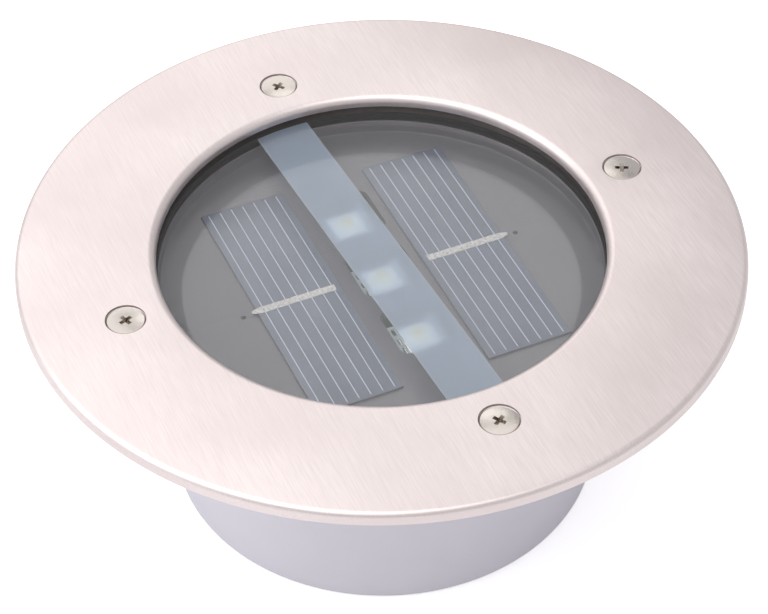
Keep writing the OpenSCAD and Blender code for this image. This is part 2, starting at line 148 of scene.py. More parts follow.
def place(tree: bpy.types.NodeTree, scale: tuple[float, float, float] = (1, 1, 1)) -> bpy.types.NodeSocket:
    """Gives the object coordinates, scaled by a mapping node.

    Args:
        tree: Node tree that gets the nodes.
        scale: Scale along X, Y and Z.

    Returns:
        The vector socket to read.
    """
    coordinates = add_node(tree, "ShaderNodeTexCoord")
    mapping = add_node(tree, "ShaderNodeMapping", {"Vector": coordinates.outputs["Object"], "Scale": scale})
    return mapping.outputs["Vector"]


def noise_of(tree: bpy.types.NodeTree, width: float, detail: float = 2.0) -> bpy.types.NodeSocket:
    """Gives noise in object space.

    Args:
        tree: Node tree that gets the nodes.
        width: Width of its features in millimetres.
        detail: Number of finer layers.

    Returns:
        The socket with the noise.
    """
    inputs = {"Vector": place(tree), "Scale": grain_scale(width), "Detail": detail}
    return add_node(tree, "ShaderNodeTexNoise", inputs).outputs["Fac"]


def map_range(
    tree: bpy.types.NodeTree,
    value: bpy.types.NodeSocket,
    source: Point = (0.0, 1.0),
    target: Point = (0.0, 1.0),
) -> bpy.types.NodeSocket:
    """Maps a value from one range to another.

    Args:
        tree: Node tree that gets the node.
        value: Socket to read.
        source: Lowest and highest value read.
        target: What they become.

    Returns:
        The socket with the mapped value.
    """
    inputs = {
        "Value": value,
        "From Min": source[0],
        "From Max": source[1],
        "To Min": target[0],
        "To Max": target[1],
    }
    return add_node(tree, "ShaderNodeMapRange", inputs).outputs[0]


def mix_colours(
    tree: bpy.types.NodeTree, factor: bpy.types.NodeSocket, first: str, second: str
) -> bpy.types.NodeSocket:
    """Mixes two sRGB hex colours.

    Args:
        tree: Node tree that gets the node.
        factor: Socket with the share of the second colour.
        first: Colour at 0.
        second: Colour at 1.

    Returns:
        The socket with the mixed colour.
    """
    inputs = {"Factor": factor, "A": linear(first), "B": linear(second)}
    return add_node(tree, "ShaderNodeMix", inputs, data_type="RGBA").outputs["Result"]


def bump_of(
    tree: bpy.types.NodeTree, height: bpy.types.NodeSocket, strength: float, depth: float
) -> bpy.types.NodeSocket:
    """Turns a height into a normal.

    Args:
        tree: Node tree that gets the node.
        height: Socket with the height.
        strength: Share of the effect.
        depth: Depth in millimetres.

    Returns:
        The socket with the normal.
    """
    inputs = {"Height": height, "Strength": strength, "Distance": depth * MM}
    return add_node(tree, "ShaderNodeBump", inputs).outputs[0]


@dataclass(frozen=True)
class BrushedStainless:
    """Stainless sheet drawn under an abrasive belt: straight fine streaks and a soft warm sheen."""

    name: str = "brushed_stainless_sheet"
    light: str = "#F4EAE9"
    dark: str = "#E5DAD9"
    # A belt leaves scratches finer than a pixel, so they are drawn 0.22 mm wide
    streak_w: float = 0.22
    streak_l: float = 5.0
    # Slow drift of the tint over the sheet
    blotch_w: float = 26.0
    tint_span: Point = (0.12, 0.42)
    rough: float = 0.4
    rough_span: Point = (-0.06, 0.08)
    depth: float = 0.005

    def material(self) -> bpy.types.Material:
        """Builds the shader with streaks along Y."""
        material, tree, shader = new_material(self.name)
        across, along = grain_scale(self.streak_w), grain_scale(self.streak_l)
        stretched = place(tree, (across, along, across))
        inputs = {"Vector": stretched, "Scale": 1.0, "Detail": 3.0, "Roughness": 0.6}
        streaks = add_node(tree, "ShaderNodeTexNoise", inputs).outputs["Fac"]
        blotches = noise_of(tree, self.blotch_w)
        tint = add_node(tree, "ShaderNodeMath", {0: streaks, 1: blotches}, operation="MULTIPLY")
        share = map_range(tree, tint.outputs[0], self.tint_span)
        colour = mix_colours(tree, share, self.dark, self.light)
        low, high = self.rough_span
        rough = map_range(tree, streaks, target=(self.rough + low, self.rough + high))
        shader.inputs["Metallic"].default_value = 1.0
        tree.links.new(colour, shader.inputs["Base Color"])
        tree.links.new(rough, shader.inputs["Roughness"])
        tree.links.new(bump_of(tree, streaks, 0.6, self.depth), shader.inputs["Normal"])
        return material


@dataclass(frozen=True)
class PlainFinish:
    """A moulded, plated or coated surface: a colour that drifts a little, a fine grain in its gloss, and a
    painted glow where one is set.
    """

    name: str
    colour: str
    drift: str
    rough: float
    metallic: float = 0.0
    ior: float = 1.5
    grain: float = 0.5
    depth: float = 0.01
    coat: float = 0.0
    # Painted light: a glow given off though the part is no lit lamp, set so that the lamps show through the
    # frosted strip
    glow: float = 0.0
    drift_w: float = 14.0
    rough_span: float = 0.15

    def material(self) -> bpy.types.Material:
        """Builds the shader."""
        material, tree, shader = new_material(self.name)
        colour = mix_colours(tree, noise_of(tree, self.drift_w), self.colour, self.drift)
        grain = noise_of(tree, self.grain, 3.0)
        low, high = self.rough * (1 - self.rough_span), self.rough * (1 + self.rough_span)
        rough = map_range(tree, grain, target=(low, min(1.0, high)))
        shader.inputs["Metallic"].default_value = self.metallic
        shader.inputs["IOR"].default_value = self.ior
        shader.inputs["Coat Weight"].default_value = self.coat
        # The glow is painted light, given off in the surface's own colour
        shader.inputs["Emission Color"].default_value = linear(self.colour)
        shader.inputs["Emission Strength"].default_value = self.glow
        tree.links.new(colour, shader.inputs["Base Color"])
        tree.links.new(rough, shader.inputs["Roughness"])
        tree.links.new(bump_of(tree, grain, 0.5, self.depth), shader.inputs["Normal"])
        return material


@dataclass(frozen=True)
class ClearPolycarbonate:
    """Clear injection-moulded window: sharp reflections and a faint cool tint."""

    name: str = "clear_polycarbonate"
    tint: str = "#FBFCFD"
    ior: float = 1.49
    rough: float = 0.015

    def material(self) -> bpy.types.Material:
        """Builds the shader."""
        material, _, shader = new_material(self.name)
        shader.inputs["Base Color"].default_value = linear(self.tint)
        shader.inputs["Transmission Weight"].default_value = 1.0
        shader.inputs["IOR"].default_value = self.ior
        shader.inputs["Roughness"].default_value = self.rough
        return material


@dataclass(frozen=True)
class FrostedFilm:
    """Frosted diffuser band: milky blue, lets the lamps through as soft patches, with lighter cut edges."""

    half_w: float
    turn_deg: float
    shift: float
    name: str = "frosted_diffuser"
    colour: str = "#D6E6FA"
    edge: str = "#E8F1FA"
    edge_w: float = 0.35
    rough: float = 0.24
    clear: float = 0.55

    def material(self) -> bpy.types.Material:
        """Builds the shader, with the edges found from the distance to the middle line."""
        material, tree, shader = new_material(self.name)
        shift, turn = (self.shift * MM, 0, 0), (0, 0, math.radians(self.turn_deg))
        inputs = {"Vector": place(tree), "Location": shift, "Rotation": turn}
        centred = add_node(tree, "ShaderNodeMapping", inputs, vector_type="TEXTURE")
        split = add_node(tree, "ShaderNodeSeparateXYZ", {0: centred.outputs["Vector"]})
        side = add_node(tree, "ShaderNodeMath", {0: split.outputs["X"]}, operation="ABSOLUTE")
        rim = add_node(
            tree,
            "ShaderNodeMapRange",
            {
                "Value": side.outputs[0],
                "From Min": (self.half_w - self.edge_w) * MM,
                "From Max": (self.half_w - self.edge_w / 3) * MM,
            },
            interpolation_type="SMOOTHSTEP",
        )
        colour = mix_colours(tree, rim.outputs[0], self.colour, self.edge)
        tree.links.new(colour, shader.inputs["Base Color"])
        shader.inputs["Transmission Weight"].default_value = self.clear
        shader.inputs["Roughness"].default_value = self.rough
        shader.inputs["IOR"].default_value = 1.3
        return material


@dataclass(frozen=True)
class SiliconCell:
    """Etched silicon under clear resin: blue grey with a fine crystal sparkle."""

    name: str = "silicon_solar_cell"
    dark: str = "#656D80"
    light: str = "#868EA2"
    crystal: float = 0.35
    cloud_w: float = 9.0
    cloud_share: float = 0.6
    rough: float = 0.3

    def material(self) -> bpy.types.Material:
        """Builds the shader from small crystal cells and slow cloudy drift."""
        material, tree, shader = new_material(self.name)
        crystals = add_node(
            tree, "ShaderNodeTexVoronoi", {"Vector": place(tree), "Scale": grain_scale(self.crystal)}
        )
        clouds = noise_of(tree, self.cloud_w)
        mixed = add_node(
            tree,
            "ShaderNodeMix",
            {"Factor": self.cloud_share, "A": crystals.outputs["Distance"], "B": clouds},
            data_type="FLOAT",
        )
        colour = mix_colours(tree, mixed.outputs[0], self.dark, self.light)
        tree.links.new(colour, shader.inputs["Base Color"])
        shader.inputs["Roughness"].default_value = self.rough
        shader.inputs["Coat Weight"].default_value = 0.3
        return material


@dataclass(frozen=True)
class TinnedRibbon:
    """Hand-soldered tinned copper: bright, lumpy and blotched with flux."""

    name: str = "tinned_copper_ribbon"
    bright: str = "#FFFFFF"
    flux: str = "#D2CDC4"
    lump: float = 0.5
    flux_span: Point = (0.35, 0.65)
    metallic: float = 0.1
    depth: float = 0.15
    rough: float = 0.42

    def material(self) -> bpy.types.Material:
        """Builds the shader with solder lumps."""
        material, tree, shader = new_material(self.name)
        lumps = noise_of(tree, self.lump, 4.0)
        spread = map_range(tree, lumps, self.flux_span)
        colour = mix_colours(tree, spread, self.flux, self.bright)
        shader.inputs["Metallic"].default_value = self.metallic
        shader.inputs["Roughness"].default_value = self.rough
        tree.links.new(colour, shader.inputs["Base Color"])
        tree.links.new(bump_of(tree, lumps, 1.0, self.depth), shader.inputs["Normal"])
        return material


@dataclass(frozen=True)
class WireInsulation:
    """PVC sleeves of a pair of wires: black on one side of the middle and red on the other."""

    run: Run
    middle: float
    red: str = "#B32222"
    black: str = "#1C1C1E"

    def material(self) -> bpy.types.Material:
        """Builds the shader that tells the two wires apart by their place."""
        material, tree, shader = new_material(f"pvc_wire_sleeves_{self.run.value.lower()}_{self.middle:g}")
        split = add_node(tree, "ShaderNodeSeparateXYZ", {0: place(tree)})
        side = add_node(
            tree,
            "ShaderNodeMath",
            {0: split.outputs[self.run.value], 1: self.middle * MM},
            operation="GREATER_THAN",
        )
        colour = mix_colours(tree, side.outputs[0], self.black, self.red)
        tree.links.new(colour, shader.inputs["Base Color"])
        shader.inputs["Roughness"].default_value = 0.42
        return material


STAINLESS = BrushedStainless()
SCREW_STEEL = PlainFinish(
    "plated_screw_steel", "#DCD6D0", "#C8C2BB", rough=0.16, metallic=1.0, grain=0.9, depth=0.02
)
RUBBER = PlainFinish("black_seal_rubber", "#141215", "#1B191C", rough=0.55, grain=0.6)
PALE_ABS = PlainFinish(
    "pale_moulded_abs", "#E2E0E8", "#D9D7E1", rough=0.46, ior=1.53, grain=0.35, depth=0.02
)
TRAY_ABS = PlainFinish(
    "grey_moulded_abs", "#7C7A81", "#77757C", rough=0.24, ior=1.53, grain=0.5, depth=0.003
)
BLACK_NYLON = PlainFinish("black_moulded_nylon", "#1B1B1D", "#222225", rough=0.5, ior=1.53, grain=0.4)
SOLDER_MASK = PlainFinish("green_solder_mask", "#1F5A38", "#1B5032", rough=0.32, grain=1.5, coat=0.3)
CHIP_EPOXY = PlainFinish("moulded_chip_epoxy", "#1A1A1B", "#202021", rough=0.6, grain=0.15)
FERRITE = PlainFinish("sintered_ferrite", "#3A3836", "#45423F", rough=0.7, grain=0.25, depth=0.03)
CAPACITOR_SLEEVE = PlainFinish("blue_shrink_sleeve", "#20284E", "#1C2346", rough=0.25, grain=2.0)
BATTERY_SLEEVE = PlainFinish("green_shrink_sleeve", "#3C8A4C", "#357D44", rough=0.24, grain=3.0, coat=0.4)
SPRING_NICKEL = PlainFinish("nickel_plated_steel", "#CFCAC0", "#BDB8AE", rough=0.28, metallic=1.0, grain=0.8)
# The lamp housing, lamp resin and phosphor carry a painted glow: the lamps are unlit, and the glow is
# painted light that lets them show through the frosted strip
LAMP_HOUSING = PlainFinish(
    "white_lamp_housing", "#FAF8F4", "#F6F4F0", rough=0.3, ior=1.53, grain=0.8, glow=0.75
)
LAMP_RESIN = PlainFinish("milky_lamp_resin", "#FBF3D2", "#F8EDC8", rough=0.18, ior=1.52, grain=1.0, glow=1.0)
PHOSPHOR = PlainFinish("yellow_phosphor", "#F0D27A", "#F4DE94", rough=0.5, grain=0.2, glow=1.0)
FINGER_SILVER = PlainFinish(
    "printed_silver_fingers", "#E6EAF4", "#D4DAE8", rough=0.4, metallic=0.2, grain=0.4
)
LEAD_SILVER = PlainFinish("silver_plated_leads", "#FAFAF8", "#DCDCDA", rough=0.2, metallic=0.5, grain=0.5)


def shade(piece: bpy.types.Object, sharp_deg: float = 32.0) -> None:
    """Shades a piece smooth, with edges sharper than an angle left crisp."""
    piece.data.shade_smooth()
    piece.data.set_sharp_from_angle(angle=math.radians(sharp_deg))


def arc(centre: Point, radius: float, start: float, end: float, steps: int = 6) -> list[Point]:
    """Lists the points of an arc in a section.

    Args:
        centre: Middle of the arc, as distance from the axis and height.
        radius: Radius of the arc.
        start: First angle in degrees, 0 pointing away from the axis.
        end: Last angle in degrees.
        steps: Number of straight parts.

    Returns:
        Points from start to end.
    """
    turns = [math.radians(start + (end - start) * k / steps) for k in range(steps + 1)]
    return [(centre[0] + radius * math.cos(t), centre[1] + radius * math.sin(t)) for t in turns]


def spin_section(bm: bmesh.types.BMesh, section: list[Point], steps: int, closed: bool = True) -> None:
    """Turns a section in millimetres round the upright axis and leaves a closed shell.

    Args:
        bm: Mesh that gets the shell.
        section: Points as distance from the axis and height.
        steps: Number of parts in a full turn.
        closed: Whether the last point joins the first.
    """
    before = set(bm.verts)
    corners = [bm.verts.new((r * MM, 0, z * MM)) for r, z in section]
    edges = [bm.edges.new(pair) for pair in zip(corners, corners[1:])]
    if closed:
        edges.append(bm.edges.new((corners[-1], corners[0])))
    bmesh.ops.spin(
        bm,
        geom=corners + edges,
        cent=(0, 0, 0),
        axis=(0, 0, 1),
        dvec=(0, 0, 0),
        angle=2 * math.pi,
        steps=steps,
        use_merge=True,
    )
    made = [v for v in bm.verts if v not in before]
    bmesh.ops.remove_doubles(bm, verts=made, dist=1e-6)
    bmesh.ops.recalc_face_normals(bm, faces=bm.faces[:])


def add_block(
    bm: bmesh.types.BMesh, size: Vector, centre: Vector, bevel: float = 0.0, segments: int = 2
) -> None:
    """Adds a box in millimetres with rounded edges.

    Args:
        bm: Mesh that gets the box.
        size: Length along X, Y and Z.
        centre: Middle of the box.
        bevel: Radius of its edges.
        segments: Number of parts in a rounded edge.
    """
    made = bmesh.ops.create_cube(bm, size=1.0)["verts"]
    spot = Matrix.Translation(centre * MM) @ Matrix.Diagonal((*(size * MM), 1))
    bmesh.ops.transform(bm, matrix=spot, verts=made)
    if bevel > 0:
        edges = list({e for v in made for e in v.link_edges})
        bmesh.ops.bevel(
            bm, geom=edges, offset=bevel * MM, affect="EDGES", segments=segments, profile=0.5, material=-1
        )


def add_cone(
    bm: bmesh.types.BMesh, r1: float, r2: float, z1: float, z2: float, at: Point, steps: int = 48
) -> None:
    """Adds an upright cone or cylinder in millimetres.

    Args:
        bm: Mesh that gets it.
        r1: Radius at the bottom.
        r2: Radius at the top.
        z1: Height of the bottom.
        z2: Height of the top.
        at: Place of its axis.
        steps: Number of sides.
    """
    bmesh.ops.create_cone(
        bm,
        cap_ends=True,
        segments=steps,
        radius1=r1 * MM,
        radius2=r2 * MM,
        depth=(z2 - z1) * MM,
        matrix=Matrix.Translation((at[0] * MM, at[1] * MM, (z1 + z2) / 2 * MM)),
    )


def rounded_plate(
    bm: bmesh.types.BMesh, width: float, length: float, corner: float, z1: float, z2: float, at: Point
) -> None:
    """Adds an upright prism with rounded corners in millimetres.

    Args:
        bm: Mesh that gets it.
        width: Size along X.
        length: Size along Y.
        corner: Radius of the four corners.
        z1: Height of the bottom.
        z2: Height of the top.
        at: Middle of the prism.
    """
    made = bmesh.ops.create_cube(bm, size=1.0)["verts"]
    centre = Matrix.Translation((at[0] * MM, at[1] * MM, (z1 + z2) / 2 * MM))
    grown = Matrix.Diagonal((width * MM, length * MM, (z2 - z1) * MM, 1))
    bmesh.ops.transform(bm, matrix=centre @ grown, verts=made)
    edges = {e for v in made for e in v.link_edges}
    upright = [e for e in edges if abs(e.verts[0].co.z - e.verts[1].co.z) > MM / 100]
    bmesh.ops.bevel(
        bm, geom=upright, offset=corner * MM, affect="EDGES", segments=5, profile=0.5, material=-1
    )


def to_object(name: str, bm: bmesh.types.BMesh) -> bpy.types.Object:
    """Turns a finished bmesh into an object in the scene.

    Args:
        name: Name of the piece.
        bm: Mesh, freed afterwards.

    Returns:
        The new object, at the origin.
    """
    mesh = bpy.data.meshes.new(name)
    bm.to_mesh(mesh)
    bm.free()
    piece = bpy.data.objects.new(name, mesh)
    bpy.context.scene.collection.objects.link(piece)
    return piece


def carve(piece: bpy.types.Object, tools: bmesh.types.BMesh, operation: str = "DIFFERENCE") -> None:
    """Cuts tool shapes out of a piece, or joins them to it, and keeps the result as its mesh.

    Args:
        piece: Piece that changes.
        tools: Closed shapes, freed afterwards.
        operation: DIFFERENCE to cut or UNION to join.
    """
    tool = to_object(f"{piece.name}_tool", tools)
    modifier = piece.modifiers.new("carve", "BOOLEAN")
    modifier.operation = operation
    modifier.solver = "EXACT"
    modifier.use_self = True
    modifier.object = tool
    graph = bpy.context.evaluated_depsgraph_get()
    result = bpy.data.meshes.new_from_object(piece.evaluated_get(graph))
    piece.modifiers.clear()
    old = piece.data
    piece.data = result
    bpy.data.meshes.remove(old)
    bpy.data.objects.remove(tool)


def fit(
    piece: bpy.types.Object, material: bpy.types.Material, body: Body, nodes: tuple[str, ...] = ()
) -> bpy.types.Object:
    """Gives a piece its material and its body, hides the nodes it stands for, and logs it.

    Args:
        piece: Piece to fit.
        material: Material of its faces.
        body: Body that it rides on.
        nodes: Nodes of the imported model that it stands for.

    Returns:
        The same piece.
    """
    piece.data.materials.clear()
    piece.data.materials.append(material)
    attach(piece, body.value)
    if nodes:
        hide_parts(*nodes)
    LOG.info("%s: %d faces on %s", piece.name, len(piece.data.polygons), body.value)
    return piece


def quarter_turns(radius: float) -> list[Point]:
    """Four places on the axes at a radius."""
    return [(radius, 0), (0, radius), (-radius, 0), (0, -radius)]


@dataclass
class TrimRing:
    """Stainless trim ring with a turned-down edge, an inner lip and four countersunk holes."""

    window_r: float = 37.05
    sheet: float = 1.0
    lip_h: float = 1.95
    shoulder_r: float = 1.0
    inner_r: float = 1.3
    screw_circle_r: float = 44.5
    head_r: float = 3.1
    head_gap: float = 0.22
    shank_r: float = 1.5
    head_rim: float = 0.4
    steps: int = 256

    def section(self, outer: float, bottom: float, top: float) -> list[Point]:
        """Section of the ring, from the skirt's inside over the face to the lip.

        Args:
            outer: Outer radius.
            bottom: Height of the skirt's edge.
            top: Height of the face.

        Returns:
            Closed outline in millimetres.
        """
        inside = outer - self.sheet
        return [
            (inside, bottom + 0.15),
            (inside + 0.15, bottom),
            (outer - 0.15, bottom),
            (outer, bottom + 0.15),
            *arc((outer - self.shoulder_r, top - self.shoulder_r), self.shoulder_r, 0, 90, 8),
            *arc((self.window_r + self.inner_r, top - self.inner_r), self.inner_r, 90, 180, 8),
            (self.window_r, top - self.lip_h),
            (self.window_r + self.sheet, top - self.lip_h),
            (self.window_r + self.sheet, top - self.sheet),
            (inside, top - self.sheet),
        ]

    def build(self) -> bpy.types.Object:
        """Builds the ring and its countersunk holes, and returns it."""
        low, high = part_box("trim_ring")
        outer, bottom, top = high.x / MM, low.z / MM, high.z / MM
        bm = bmesh.new()
        spin_section(bm, self.section(outer, bottom, top), self.steps)
        ring = to_object("trim_ring_sheet", bm)
        tools = bmesh.new()
        for place_xy in quarter_turns(self.screw_circle_r):
            narrow, wide = self.shank_r + self.head_gap, self.head_r + self.head_gap
            add_cone(tools, narrow, narrow, top - 4, top + 1, place_xy)
            slope_bottom = top - self.head_rim - (self.head_r - self.shank_r)
            add_cone(tools, narrow, wide, slope_bottom, top - self.head_rim, place_xy)
            add_cone(tools, wide, wide, top - self.head_rim - 0.01, top + 1, place_xy, 64)
        carve(ring, tools)
        shade(ring, 24)
        return fit(ring, STAINLESS.material(), Body.COVER, ("trim_ring",))


@dataclass
class TrimScrews:
    """Four countersunk screws with a cross recess, each turned to its own angle."""

    circle_r: float = 44.5
    head_r: float = 3.1
    rim: float = 0.25
    shank_r: float = 1.5
    recess_l: float = 3.6
    recess_w: float = 0.85
    recess_depth: float = 1.3
    turns_deg: tuple[float, ...] = (64.0, 38.0, 20.0, 33.0)
    threads: int = 7

    def build(self) -> bpy.types.Object:
        """Builds the four screws as one piece and returns it."""
        low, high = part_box("trim_screws")
        top, tip = high.z / MM, low.z / MM
        screws = bmesh.new()
        spin_section(screws, self.section(top, tip), 64, closed=False)
        piece = to_object("trim_screws_steel", screws)
        tools = bmesh.new()
        for turn in (0.0, 90.0):
            self.add_wing(tools, top, turn)
        carve(piece, tools)
        one = piece.data
        bm = bmesh.new()
        for k, place_xy in enumerate(quarter_turns(self.circle_r)):
            before = set(bm.verts)
            bm.from_mesh(one)
            made = [v for v in bm.verts if v not in before]
            turned = Matrix.Rotation(math.radians(self.turns_deg[k]), 4, "Z")
            moved = Matrix.Translation((place_xy[0] * MM, place_xy[1] * MM, 0)) @ turned
            bmesh.ops.transform(bm, matrix=moved, verts=made)
        bm.to_mesh(one)
        bm.free()
        shade(piece, 30)
        return fit(piece, SCREW_STEEL.material(), Body.COVER, ("trim_screws",))

    def section(self, top: float, tip: float) -> list[Point]:
        """Half section of one screw with a slightly raised head and a ridged shank.

        Args:
            top: Height of the head.
            tip: Height of the tip.

        Returns:
            Open outline in millimetres that starts and ends on the axis.
        """
        neck = top - self.rim - (self.head_r - self.shank_r)
        pitch = (neck - tip - self.shank_r) / self.threads
        ridges: list[Point] = []
        for k in range(self.threads):
            z = neck - k * pitch
            ridges += [(self.shank_r, z - 0.25 * pitch), (self.shank_r - 0.3, z - 0.75 * pitch)]
        return [
            (0, top),
            (self.head_r * 0.7, top - 0.02),
            (self.head_r - 0.12, top - 0.08),
            (self.head_r, top - self.rim),
            (self.shank_r, neck),
            *ridges,
            (self.shank_r - 0.3, tip + self.shank_r),
            (0, tip),
        ]

    def add_wing(self, tools: bmesh.types.BMesh, top: float, turn: float) -> None:
        """Adds one wing of the cross recess, narrower at its bottom.

        Args:
            tools: Mesh of cutting shapes.
            top: Height of the head.
            turn: Turn about the axis in degrees.
        """
        made = bmesh.ops.create_cube(tools, size=1.0)["verts"]
        size = Vector((self.recess_l, self.recess_w, 2 * self.recess_depth)) * MM
        for v in made:
            if v.co.z < 0:
                v.co.x *= 0.25
                v.co.y *= 0.6
        spot = Matrix.Rotation(math.radians(turn), 4, "Z") @ Matrix.Translation((0, 0, top * MM))
        bmesh.ops.transform(tools, matrix=spot @ Matrix.Diagonal((*size, 1)), verts=made)


@dataclass
class Window:
    """Clear window with a frosted strip on its underside, and the black seal below it."""

    edge_r: float = 0.3
    # Air between the film and the window, so that their faces never lie in one plane
    film_gap: float = 0.04
    strip_w: float = 9.6
    # In the photograph the strip sits a little off the middle and turned
    strip_turn_deg: float = 2.8
    strip_shift: float = -0.85
    seal_r: float = 36.95
    steps: int = 192

    def build(self) -> list[bpy.types.Object]:
        """Builds the window, the strip and the seal, and returns them."""
        return [self.lens(), self.strip(), self.gasket()]

    def lens(self) -> bpy.types.Object:
        """Builds the clear disc with softened edges."""
        low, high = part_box("window_lens")
        radius, bottom, top = high.x / MM, low.z / MM, high.z / MM
        e = self.edge_r
        section = [
            (0, bottom),
            (radius - e, bottom),
            (radius, bottom + e),
            (radius, top - e),
            (radius - e, top),
            (0, top),
        ]
        bm = bmesh.new()
        spin_section(bm, section, self.steps, closed=False)
        lens = to_object("window_disc", bm)
        shade(lens)
        return fit(lens, ClearPolycarbonate().material(), Body.COVER, ("window_lens",))

    def strip(self) -> bpy.types.Object:
        """Cuts the strip from a disc, so that its ends follow the seal."""
        low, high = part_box("frosted_strip")
        _, lens_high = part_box("window_lens")
        turn = math.radians(self.strip_turn_deg)
        across = Vector((math.cos(turn), math.sin(turn), 0))
        bm = bmesh.new()
        bmesh.ops.create_circle(bm, cap_ends=True, segments=self.steps, radius=lens_high.x)
        for side in (1, -1):
            bmesh.ops.bisect_plane(
                bm,
                geom=bm.verts[:] + bm.edges[:] + bm.faces[:],
                plane_co=Vector((self.strip_shift, 0, 0)) * MM + across * side * self.strip_w / 2 * MM,
                plane_no=across * side,
                clear_outer=True,
            )
        lifted = bmesh.ops.extrude_face_region(bm, geom=bm.faces[:])["geom"]
        moved = [v for v in lifted if isinstance(v, bmesh.types.BMVert)]
        bmesh.ops.translate(bm, vec=(0, 0, high.z - low.z - self.film_gap * MM), verts=moved)
        bmesh.ops.translate(bm, vec=(0, 0, low.z), verts=bm.verts[:])
        bmesh.ops.recalc_face_normals(bm, faces=bm.faces[:])
        strip = to_object("frosted_band", bm)
        shade(strip)
        finish = FrostedFilm(self.strip_w / 2, self.strip_turn_deg, self.strip_shift)
        return fit(strip, finish.material(), Body.COVER, ("frosted_strip",))

    def gasket(self) -> bpy.types.Object:
        """Turns the seal, with a lip moulded along its inside."""
        low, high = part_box("lens_gasket")
        outer, bottom, top = high.x / MM, low.z / MM, high.z / MM
        inner = self.seal_r
        middle = (bottom + top) / 2
        section = [
            (inner + 0.2, bottom),
            (outer, bottom),
            (outer, top),
            (inner + 0.2, top),
            *arc((inner + 0.35, top - 0.4), 0.35, 120, 240, 4),
            (inner + 0.25, middle),
            *arc((inner + 0.35, bottom + 0.4), 0.35, 120, 240, 4),
        ]
        bm = bmesh.new()
        spin_section(bm, section, self.steps)
        gasket = to_object("window_seal", bm)
        shade(gasket, 40)
        return fit(gasket, RUBBER.material(), Body.HOUSING, ("lens_gasket",))


@dataclass
class Tray:
    """Grey dish with an opening for each lamp, two wire holes and two posts below."""

    lamp_ys: tuple[float, ...] = (14.7, 0.0, -14.7)
    opening: tuple[float, float] = (10.4, 10.4)
    opening_off: Point = (0.7, 1.0)
    opening_corner: float = 1.5
    flat_r: float = 36.9
    plate_t: float = 1.5
    wall_r: float = 35.3
    ledge_h: float = 3.3
    lift: float = 1.02
    wire_hole_x: float = 24.7
    wire_hole_r: float = 0.45
    post_y: float = 22.9
    post_r: float = 2.2
    steps: int = 192

    def build(self) -> bpy.types.Object:
        """Builds the dish and cuts its openings, and returns it."""
        low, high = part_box("solar_tray")
        outer, rim, post_end = high.x / MM, high.z / MM, low.z / MM
        ledge = rim - self.ledge_h
        top = ledge + self.lift
        bottom = top - self.plate_t
        soft = 0.25
        section = [
            (0, bottom),
            (self.wall_r, bottom),
            (self.wall_r, ledge),
            (outer, ledge),
            (outer, rim),
            *arc((self.flat_r + soft, rim - soft), soft, 90, 180, 3),
            *arc((self.flat_r - soft, top + soft), soft, 0, -90, 3),
            (0, top),
        ]
        bm = bmesh.new()
        spin_section(bm, section, self.steps, closed=False)
        tray = to_object("solar_tray_dish", bm)
        posts = bmesh.new()
        for side in (1, -1):
            at = (0, side * self.post_y)
            add_cone(posts, self.post_r, self.post_r, post_end, bottom + self.plate_t / 2, at, 32)
        carve(tray, posts, "UNION")
        tools = bmesh.new()
        for y in self.lamp_ys:
            at = (self.opening_off[0], y + self.opening_off[1])
            rounded_plate(tools, *self.opening, self.opening_corner, bottom - 1, top + 1, at)
        for side in (1, -1):
            at = (side * self.wire_hole_x, 0)
            add_cone(tools, self.wire_hole_r, self.wire_hole_r, bottom - 1, top + 1, at, 24)
        carve(tray, tools)
        shade(tray)
        return fit(tray, TRAY_ABS.material(), Body.HOUSING, ("solar_tray",))


